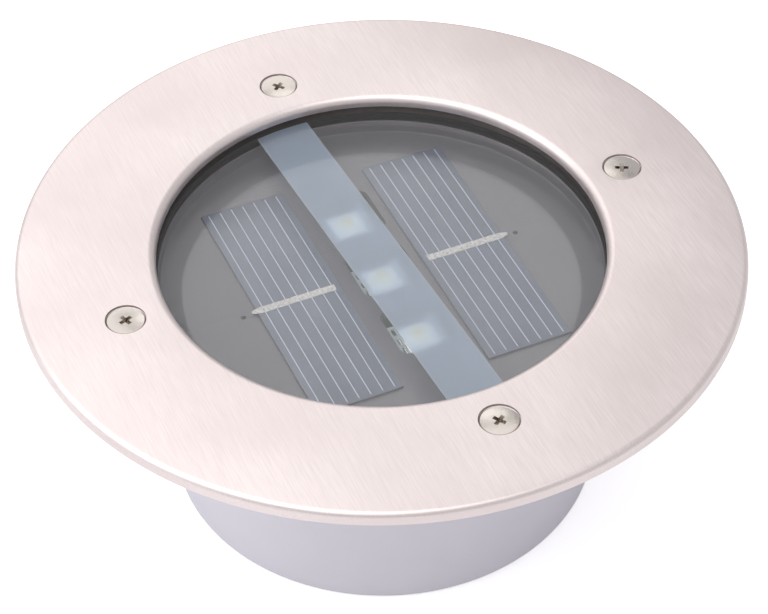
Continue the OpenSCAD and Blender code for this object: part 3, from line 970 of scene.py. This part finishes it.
@dataclass
class SolarCell:
    """One silicon cell with printed silver fingers and a soldered ribbon across its middle."""

    name: str
    node: str
    side: int
    finger_count: int = 7
    finger_in: float = 8.8
    finger_out: float = 21.1
    finger_w: float = 0.17
    finger_h: float = 0.03
    ribbon_in: float = 8.4
    ribbon_out: float = 23.2
    ribbon_w: float = 1.4
    ribbon_h: float = 0.2

    def build(self) -> list[bpy.types.Object]:
        """Builds the wafer, its fingers and its ribbon, and returns them."""
        return [self.wafer(), self.fingers(), self.ribbon()]

    def wafer(self) -> bpy.types.Object:
        """Builds the wafer with a fine edge."""
        low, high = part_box(self.node)
        bm = bmesh.new()
        add_block(bm, (high - low) / MM, (high + low) / 2 / MM, bevel=0.06)
        piece = to_object(f"{self.name}_wafer", bm)
        shade(piece)
        return fit(piece, SiliconCell().material(), Body.HOUSING, (self.node,))

    def fingers(self) -> bpy.types.Object:
        """Prints the fingers along the cell, each a thin raised line."""
        low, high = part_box(self.node)
        length, top = (high.y - low.y) / MM - 1.0, high.z / MM
        bm = bmesh.new()
        pitch = (self.finger_out - self.finger_in) / (self.finger_count - 1)
        for k in range(self.finger_count):
            x = self.side * (self.finger_in + k * pitch)
            size = Vector((self.finger_w, length, self.finger_h))
            add_block(bm, size, Vector((x, 0, top + self.finger_h / 2)))
        piece = to_object(f"{self.name}_fingers", bm)
        shade(piece)
        return fit(piece, FINGER_SILVER.material(), Body.HOUSING)

    def ribbon(self) -> bpy.types.Object:
        """Lays the lumpy soldered ribbon, tapered at its outer end."""
        _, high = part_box(self.node)
        top = high.z / MM
        length = self.ribbon_out - self.ribbon_in
        bm = bmesh.new()
        bmesh.ops.create_grid(bm, x_segments=56, y_segments=8, size=0.5)
        for v in bm.verts:
            along = v.co.x + 0.5
            taper = 1.0 - 0.7 * max(0.0, (along - 0.9) / 0.1) ** 1.5
            seed = Vector((self.side * along * 9, v.co.y * 2, self.side * 3.0))
            ragged = 1.0 + 0.1 * noise.noise(seed * 2.2)
            lump = 0.55 + 0.45 * noise.noise(seed * 1.7)
            crown = 1 - (2 * v.co.y) ** 4
            v.co = Vector(
                (
                    self.side * (self.ribbon_in + along * length),
                    v.co.y * self.ribbon_w * taper * ragged,
                    top + self.ribbon_h * (0.35 + 0.6 * crown * lump),
                )
            )
            v.co *= MM
        top_faces = bm.faces[:]
        walls = bmesh.ops.extrude_face_region(bm, geom=top_faces, use_keep_orig=True)["geom"]
        dropped = [v for v in walls if isinstance(v, bmesh.types.BMVert)]
        for v in dropped:
            v.co.z = top * MM
        bmesh.ops.recalc_face_normals(bm, faces=bm.faces[:])
        piece = to_object(f"{self.name}_ribbon", bm)
        shade(piece, 50)
        nodes = ("cell_ribbons",)
        return fit(piece, TinnedRibbon().material(), Body.HOUSING, nodes)


@dataclass
class Lamp:
    """One square lamp: a white housing with a cut corner and a milky dome over its phosphor."""

    node: str
    edge: float = 0.25
    corner: float = 0.8
    dome_r: float = 2.1
    dome_h: float = 0.7

    def build(self) -> list[bpy.types.Object]:
        """Builds the housing and the dome, and returns them."""
        low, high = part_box(self.node)
        centre = (low + high) / 2
        size = high - low
        body_h = size.z / MM - self.dome_h
        bm = bmesh.new()
        add_block(
            bm,
            Vector((size.x / MM, size.y / MM, body_h)),
            Vector((centre.x / MM, centre.y / MM, low.z / MM + body_h / 2)),
            bevel=self.edge,
            segments=3,
        )
        corner_no = Vector((1, 1, 0)).normalized()
        corner_at = centre + Vector((size.x, size.y, 0)) / 2 - corner_no * self.corner * MM / math.sqrt(2)
        cut = bmesh.ops.bisect_plane(
            bm,
            geom=bm.verts[:] + bm.edges[:] + bm.faces[:],
            plane_co=corner_at,
            plane_no=corner_no,
            clear_outer=True,
        )
        rim = [e for e in cut["geom_cut"] if isinstance(e, bmesh.types.BMEdge)]
        bmesh.ops.holes_fill(bm, edges=rim)
        housing = to_object(f"{self.node}_housing", bm)
        shade(housing)
        fit(housing, LAMP_HOUSING.material(), Body.HOUSING, (self.node,))
        dome = bmesh.new()
        base, top = low.z / MM + body_h - 0.05, high.z / MM
        rim_z = base + 0.25
        section = [(0, base), (self.dome_r, base), (self.dome_r * 0.97, rim_z)]
        for a in (0.4, 0.8, 1.2):
            section.append((self.dome_r * math.cos(a), rim_z + (top - base - 0.25) * math.sin(a)))
        section.append((0, top))
        spin_section(dome, section, 48, closed=False)
        bmesh.ops.translate(dome, vec=(centre.x, centre.y, 0), verts=dome.verts[:])
        resin = to_object(f"{self.node}_dome", dome)
        shade(resin, 60)
        fit(resin, LAMP_RESIN.material(), Body.HOUSING)
        return [housing, resin]


@dataclass
class Cup:
    """Pale moulded cup with a flange, collar, four screw bosses, webs and the switch's well."""

    base_r: float = 36.7
    draft: float = 0.9
    wall: float = 2.0
    floor_t: float = 2.4
    base_round: float = 1.0
    collar_r: float = 43.0
    collar_z: float = 35.6
    ledge_z: float = 37.0
    seat_r: float = 40.3
    flange_t: float = 2.5
    soft: float = 0.4
    boss_r: float = 3.9
    boss_z: float = 33.85
    screw_circle_r: float = 44.5
    hole_r: float = 1.56
    head_r: float = 3.32
    web_t: float = 1.6
    web_count: int = 8
    web_h: float = 6.0
    web_out: float = 49.0
    well_x: float = 16.0
    well_size: tuple[float, float, float] = (5.6, 8.4, 1.3)
    slot_size: tuple[float, float] = (2.4, 4.4)
    steps: int = 224

    def section(self, flange_r: float, top: float) -> list[Point]:
        """Section of the shell, with softened outer corners.

        Args:
            flange_r: Outer radius of the flange.
            top: Height of the flange's top.

        Returns:
            Open outline in millimetres that starts and ends on the axis.
        """
        under = top - self.flange_t
        s = self.soft
        wall_top = self.base_r + self.draft
        return [
            (0, 0),
            *arc((self.base_r - self.base_round, self.base_round), self.base_round, -90, 0, 6),
            *self.hollow_round(wall_top, self.collar_z, (0, 0.5, 1.0, 1.57)),
            *arc((self.collar_r - s, self.collar_z + s), s, -90, 0, 3),
            *self.hollow_round(self.collar_r, under, (0, 0.8, 1.57)),
            *arc((flange_r - s, under + s), s, -90, 0, 3),
            (flange_r, top - 0.2),
            (flange_r - 0.2, top),
            (self.seat_r, top),
            (self.seat_r, self.ledge_z),
            (wall_top - self.wall, self.ledge_z),
            (self.base_r - self.wall, self.floor_t + 1),
            *arc((self.base_r - self.wall - 1, self.floor_t + 1), 1, 0, -90, 4),
            (0, self.floor_t),
        ]

    def hollow_round(self, radius: float, height: float, turns: tuple[float, ...]) -> list[Point]:
        """Rounds an inner corner between a wall and the shelf above it.

        Args:
            radius: Radius of the wall.
            height: Height of the shelf.
            turns: Angles of the points in radians.

        Returns:
            Points from the wall to the shelf.
        """
        s = self.soft
        return [(radius + s * (1 - math.cos(a)), height - s * (1 - math.sin(a))) for a in turns]

    def add_web(self, bm: bmesh.types.BMesh, turn: float, under: float) -> None:
        """Adds one triangular web between the collar and the flange.

        Args:
            bm: Mesh that gets it.
            turn: Turn about the axis in degrees.
            under: Height of the flange's underside.
        """
        inner = self.collar_r - 1
        outline = [
            (inner, under + 1),
            (inner, under - self.web_h),
            (self.web_out, under - self.web_t),
            (self.web_out, under + 1),
        ]
        corners = [bm.verts.new((r * MM, -self.web_t / 2 * MM, z * MM)) for r, z in outline]
        face = bm.faces.new(corners)
        lifted = bmesh.ops.extrude_face_region(bm, geom=[face])["geom"]
        moved = [v for v in lifted if isinstance(v, bmesh.types.BMVert)]
        bmesh.ops.translate(bm, vec=(0, self.web_t * MM, 0), verts=moved)
        spot = Matrix.Rotation(math.radians(turn), 4, "Z")
        bmesh.ops.transform(bm, matrix=spot, verts=corners + moved)

    def build(self) -> bpy.types.Object:
        """Builds the cup with its bosses, webs, holes and well, and returns it."""
        _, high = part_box("cup")
        flange_r, top = high.x / MM, high.z / MM
        under = top - self.flange_t
        bm = bmesh.new()
        spin_section(bm, self.section(flange_r, top), self.steps, closed=False)
        cup = to_object("cup_shell", bm)
        extra = bmesh.new()
        for place_xy in quarter_turns(self.screw_circle_r):
            add_cone(extra, self.boss_r, self.boss_r, self.boss_z, under + 1, place_xy, 48)
        for k in range(self.web_count):
            self.add_web(extra, 360 * (k + 0.5) / self.web_count, under)
        bmesh.ops.recalc_face_normals(extra, faces=extra.faces[:])
        carve(cup, extra, "UNION")
        tools = bmesh.new()
        add_cone(tools, self.seat_r, self.seat_r, self.ledge_z, top + 2, (0, 0), self.steps)
        for place_xy in quarter_turns(self.screw_circle_r):
            add_cone(tools, self.hole_r, self.hole_r, self.boss_z + 1, top + 1, place_xy, 32)
            add_cone(tools, self.hole_r, self.head_r, top - 0.85, top + 0.9, place_xy, 48)
        well_w, well_l, well_h = self.well_size
        rounded_plate(tools, well_w, well_l, 0.8, -1, well_h, (self.well_x, 0))
        slot_w, slot_l = self.slot_size
        rounded_plate(tools, slot_w, slot_l, 0.3, -1, self.floor_t + 1, (self.well_x, 0))
        carve(cup, tools)
        shade(cup)
        return fit(cup, PALE_ABS.material(), Body.HOUSING, ("cup",))


@dataclass
class SwitchKnob:
    """Slide switch's knob with grip ridges across its face."""

    ridges: int = 5
    ridge_w: float = 0.3
    ridge_h: float = 0.12
    cap_h: float = 0.9
    stem_w: float = 1.8

    def build(self) -> bpy.types.Object:
        """Builds the knob, its stem and its ridges, and returns it."""
        low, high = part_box("switch_knob")
        centre = (low + high) / 2 / MM
        size = (high - low) / MM
        cap_h = self.cap_h
        bm = bmesh.new()
        cap_at = Vector((centre.x, centre.y, low.z / MM + self.ridge_h + (cap_h - self.ridge_h) / 2))
        add_block(bm, Vector((size.x, size.y, cap_h - self.ridge_h)), cap_at, bevel=0.18, segments=3)
        stem_h = size.z - cap_h + 0.2
        stem_at = Vector((centre.x, centre.y, high.z / MM - stem_h / 2))
        add_block(bm, Vector((self.stem_w, self.stem_w, stem_h)), stem_at, bevel=0.1)
        for k in range(self.ridges):
            y = centre.y + (k - (self.ridges - 1) / 2) * size.y / (self.ridges + 1)
            at = Vector((centre.x, y, low.z / MM + self.ridge_h))
            add_block(bm, Vector((size.x * 0.75, self.ridge_w, 2 * self.ridge_h)), at, bevel=0.05)
        piece = to_object("switch_knob_grip", bm)
        shade(piece)
        return fit(piece, BLACK_NYLON.material(), Body.KNOB, ("switch_knob",))


@dataclass
class InnerParts:
    """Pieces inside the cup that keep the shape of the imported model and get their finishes."""

    finishes: dict[str, object] = field(
        default_factory=lambda: {
            "lamp_board": SOLDER_MASK,
            "lamp_leads": LEAD_SILVER,
            "lamp_dots": PHOSPHOR,
            "lamp_board_screws": SCREW_STEEL,
            "control_board": SOLDER_MASK,
            "control_chip": CHIP_EPOXY,
            "inductor": FERRITE,
            "capacitor": CAPACITOR_SLEEVE,
            "resistors": CHIP_EPOXY,
            "control_screws": SCREW_STEEL,
            "switch_body": BLACK_NYLON,
            "battery_holder": BLACK_NYLON,
            "battery": BATTERY_SLEEVE,
            "battery_spring": SPRING_NICKEL,
            "contact_minus": SPRING_NICKEL,
            "contact_plus": SPRING_NICKEL,
            "battery_wires": WireInsulation(Run.ALONG_Y, 0),
            "panel_wires": WireInsulation(Run.ALONG_X, 14),
            "lamp_wires": WireInsulation(Run.ALONG_X, 8),
        }
    )

    def dress(self, nodes: dict[str, bpy.types.Object]) -> None:
        """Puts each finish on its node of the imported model.

        Args:
            nodes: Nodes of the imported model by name.
        """
        made: dict[object, bpy.types.Material] = {}
        for name, finish in self.finishes.items():
            if finish not in made:
                made[finish] = finish.material()
            nodes[name].data.materials.clear()
            nodes[name].data.materials.append(made[finish])
            LOG.info("%s: %s", name, made[finish].name)


@dataclass(frozen=True)
class Panel:
    """Soft light panel, placed round the object as seen from the camera."""

    name: str
    # Angle from straight behind the object, positive to the left of the photograph
    swing_deg: float
    rise_deg: float
    away: float
    size: Point
    radiance: float
    colour: str = "#FFFFFF"

    def place(self, behind_deg: float) -> Matrix:
        """Turns the panel to face the object.

        Args:
            behind_deg: Direction straight behind the object, seen from the camera.

        Returns:
            Place and turn of the panel.
        """
        turn, rise = math.radians(behind_deg + self.swing_deg), math.radians(self.rise_deg)
        way = Vector((math.cos(turn) * math.cos(rise), math.sin(turn) * math.cos(rise), math.sin(rise)))
        facing = (-way).to_track_quat("-Z", "Y").to_matrix().to_4x4()
        return Matrix.Translation(way * self.away + Vector((0, 0, 0.04))) @ facing

    def hang(self, behind_deg: float) -> None:
        """Hangs the panel as an area light.

        Args:
            behind_deg: Direction straight behind the object, seen from the camera.
        """
        data = bpy.data.lights.new(self.name, "AREA")
        data.shape = "RECTANGLE"
        data.size, data.size_y = self.size
        data.energy = self.radiance * math.pi * self.size[0] * self.size[1]
        data.color = linear(self.colour)[:3]
        lamp = bpy.data.objects.new(self.name, data)
        lamp.matrix_world = self.place(behind_deg)
        bpy.context.scene.collection.objects.link(lamp)


@dataclass
class Studio:
    """White sweep, soft panels, what the window mirrors, and the camera of the photograph."""

    camera_at: tuple[float, float, float] = (-122.76, -285.04, 329.71)
    aim: tuple[float, float, float] = (-5.96, -14.54, 47.0)
    roll_deg: float = -0.88
    lens_mm: float = 119.9
    behind_deg: float = 66.7
    world: str = "#FFFEFF"
    world_strength: float = 0.62
    floor_colour: str = "#F4F3F4"
    floor_lift: float = 0.5
    panels: tuple[Panel, ...] = (
        Panel("back_panel", 30, 44, 1.1, (1.2, 0.9), 0.66, "#FFFCF9"),
        Panel("top_panel", 135, 74, 0.85, (1.0, 0.8), 1.2, "#FFFEFD"),
        Panel("side_panel", 100, 30, 0.9, (0.7, 0.6), 1.5, "#FDFDFF"),
    )
    # The window mirrors a pale round patch with a darker surround, which gives its middle a soft veil
    mirrored_at: tuple[float, float, float] = (501.0, 1164.0, 1245.0)
    mirrored_r: float = 169.0
    mirrored_radiance: float = 0.9
    surround: str = "#1E1E20"
    surround_l: float = 0.5

    def build(self) -> None:
        """Builds the floor, the lights, the world and the camera."""
        self.floor()
        for panel in self.panels:
            panel.hang(self.behind_deg)
        self.mirrored()
        self.sky()
        self.camera()
        bpy.context.scene.view_settings.view_transform = "Standard"

    def floor(self) -> None:
        """Lays a white floor that keeps a faint shadow."""
        bm = bmesh.new()
        bmesh.ops.create_circle(bm, cap_ends=True, segments=64, radius=6.0)
        floor = to_object("studio_floor", bm)
        material, tree, shader = new_material("white_sweep")
        shader.inputs["Base Color"].default_value = linear(self.floor_colour)
        shader.inputs["Roughness"].default_value = 0.9
        shader.inputs["Specular IOR Level"].default_value = 0.0
        path = add_node(tree, "ShaderNodeLightPath")
        glow = add_node(
            tree,
            "ShaderNodeMath",
            {0: path.outputs["Is Camera Ray"], 1: self.floor_lift},
            operation="MULTIPLY",
        )
        shader.inputs["Emission Color"].default_value = (1, 1, 1, 1)
        tree.links.new(glow.outputs[0], shader.inputs["Emission Strength"])
        floor.data.materials.append(material)

    def mirrored(self) -> None:
        """Hangs the round light that the window mirrors, and a dark card above it that takes light away."""
        data = bpy.data.lights.new("mirrored_disc", "AREA")
        data.shape = "DISK"
        data.size = 2 * self.mirrored_r * MM
        data.energy = self.mirrored_radiance * math.pi * math.pi * (self.mirrored_r * MM) ** 2
        disc = bpy.data.objects.new("mirrored_disc", data)
        disc.location = Vector(self.mirrored_at) * MM
        bpy.context.scene.collection.objects.link(disc)
        bm = bmesh.new()
        bmesh.ops.create_grid(bm, x_segments=1, y_segments=1, size=self.surround_l / 2)
        above = Vector(self.mirrored_at) * MM + Vector((0, 0, 0.02))
        bmesh.ops.translate(bm, vec=above, verts=bm.verts[:])
        card = to_object("mirrored_surround", bm)
        material, _, shader = new_material("dark_card")
        shader.inputs["Base Color"].default_value = linear(self.surround)
        shader.inputs["Roughness"].default_value = 1.0
        card.data.materials.append(material)
        card.visible_camera = False

    def sky(self) -> None:
        """Makes the world a pale even light that the camera sees as white."""
        world = bpy.data.worlds.new("studio_world")
        bpy.context.scene.world = world
        world.use_nodes = True
        tree = world.node_tree
        tree.nodes.clear()
        path = add_node(tree, "ShaderNodeLightPath")
        strength = add_node(
            tree,
            "ShaderNodeMix",
            {"Factor": path.outputs["Is Camera Ray"], "A": self.world_strength, "B": 1.0},
            data_type="FLOAT",
        )
        background = add_node(
            tree, "ShaderNodeBackground", {"Color": linear(self.world), "Strength": strength.outputs[0]}
        )
        add_node(tree, "ShaderNodeOutputWorld", {"Surface": background.outputs[0]})

    def camera(self) -> None:
        """Places the camera as the photograph was taken."""
        data = bpy.data.cameras.new("photo_camera")
        data.sensor_width = 36.0
        data.lens = self.lens_mm
        data.clip_start, data.clip_end = 0.01, 20.0
        camera = bpy.data.objects.new("photo_camera", data)
        bpy.context.scene.collection.objects.link(camera)
        at, aim = Vector(self.camera_at) * MM, Vector(self.aim) * MM
        forward = (aim - at).normalized()
        right = forward.cross(Vector((0, 0, 1))).normalized()
        up = right.cross(forward)
        roll = math.radians(self.roll_deg)
        x_axis = right * math.cos(roll) + up * math.sin(roll)
        y_axis = (-forward).cross(x_axis)
        turn = Matrix((x_axis, y_axis, -forward)).transposed().to_4x4()
        camera.matrix_world = Matrix.Translation(at) @ turn
        bpy.context.scene.camera = camera


def main() -> None:
    """Builds every part of the light and the studio around it."""
    logging.basicConfig(level=logging.INFO, format="%(name)s: %(message)s")
    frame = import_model()
    Studio().build()
    Cup().build()
    Tray().build()
    for name, node, side in (("left_cell", "solar_cell_left", -1), ("right_cell", "solar_cell_right", 1)):
        SolarCell(name, node, side).build()
    for node in ("lamp_far", "lamp_middle", "lamp_near"):
        Lamp(node).build()
    Window().build()
    TrimRing().build()
    TrimScrews().build()
    SwitchKnob().build()
    InnerParts().dress(frame["nodes"])


if __name__ == "__main__":
    main()
